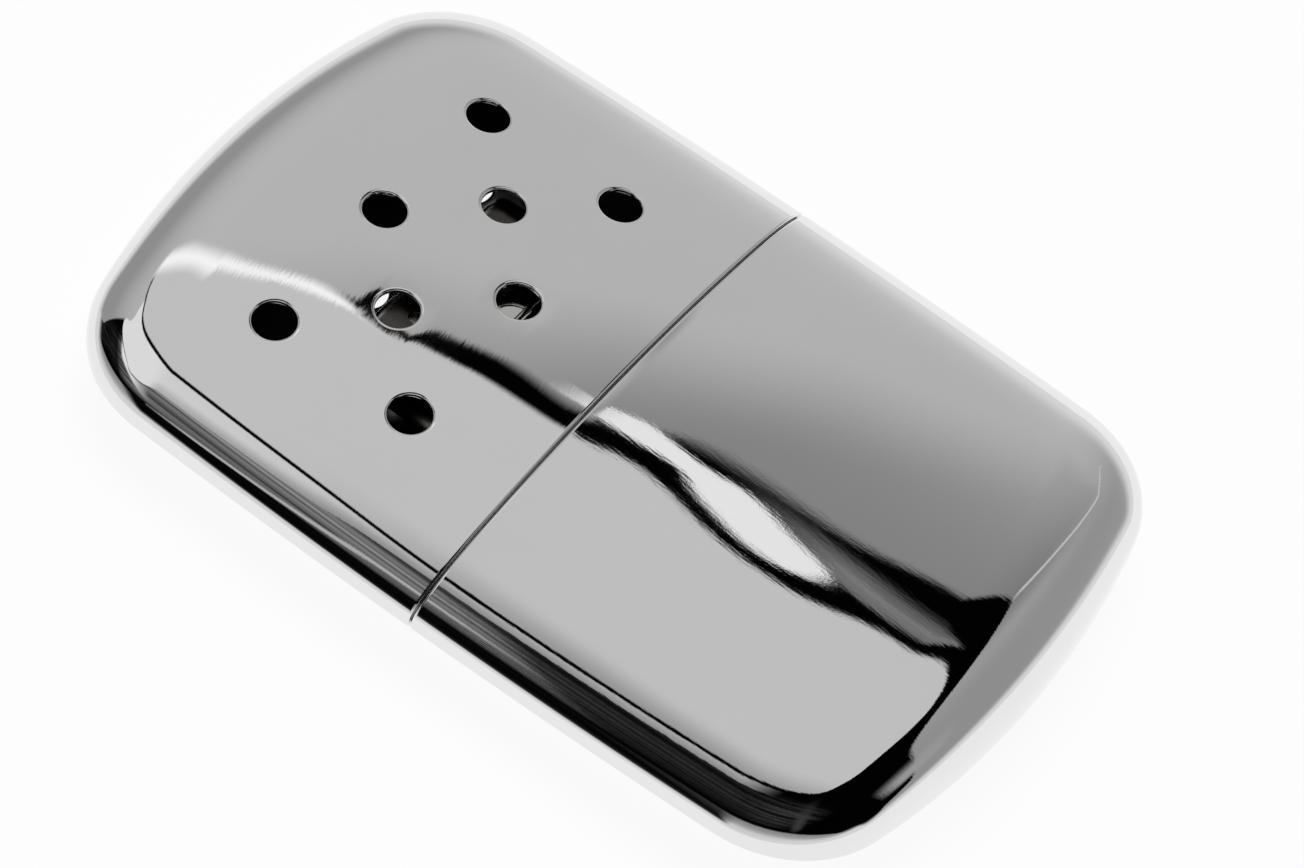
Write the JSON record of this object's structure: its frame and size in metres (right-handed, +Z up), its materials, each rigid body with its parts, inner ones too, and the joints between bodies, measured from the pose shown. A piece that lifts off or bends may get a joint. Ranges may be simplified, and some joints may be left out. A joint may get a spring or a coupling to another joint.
{
  "type": "catalytic hand warmer",
  "caption": "Pocket catalytic hand warmer: a crowned, mirror-bright fuel tank with a pull-off vented cover over a push-on burner, lying on its back.",
  "frame": {"origin": "under the middle of the body, on the surface that its flat back lies on", "axes": "+X along the body towards the cover's end, +Y across the body, +Z up through its thickness, out of its front face"},
  "size_m": [0.099, 0.067, 0.0136],
  "materials": {
    "chrome_shell": "mirror-polished chrome plate with faint hairlines",
    "tinned_steel": "satin drawn steel, tinned",
    "nickel_plate": "bright nickel plate, slightly heat-dulled at the slots",
    "steel_gauze": "woven wire, dull",
    "cotton": "loose cotton fibre",
    "felt": "dense wool felt",
    "glass_fibre": "grey platinum-coated glass fibre"
  },
  "bodies": {
    "tank": {"tank_shell": "chrome_shell", "tank_insert": "tinned_steel", "filler_neck": "tinned_steel", "neck_wick": "cotton", "felt_pad": "felt", "batting_front": "cotton", "batting_middle": "cotton", "batting_back": "cotton"},
    "cover": {"cover_shell": "chrome_shell"},
    "burner": {"burner_sleeve": "nickel_plate", "burner_housing": "nickel_plate", "burner_screen": "steel_gauze", "catalyst_mat": "glass_fibre"}
  },
  "joints": [
    {"name": "cover_pull", "type": "slide", "parent": "tank", "child": "cover", "axis": [1, 0, 0], "range_m": [0, 0.04]},
    {"name": "burner_pull", "type": "slide", "parent": "tank", "child": "burner", "axis": [1, 0, 0], "range_m": [0, 0.01]}
  ]
}
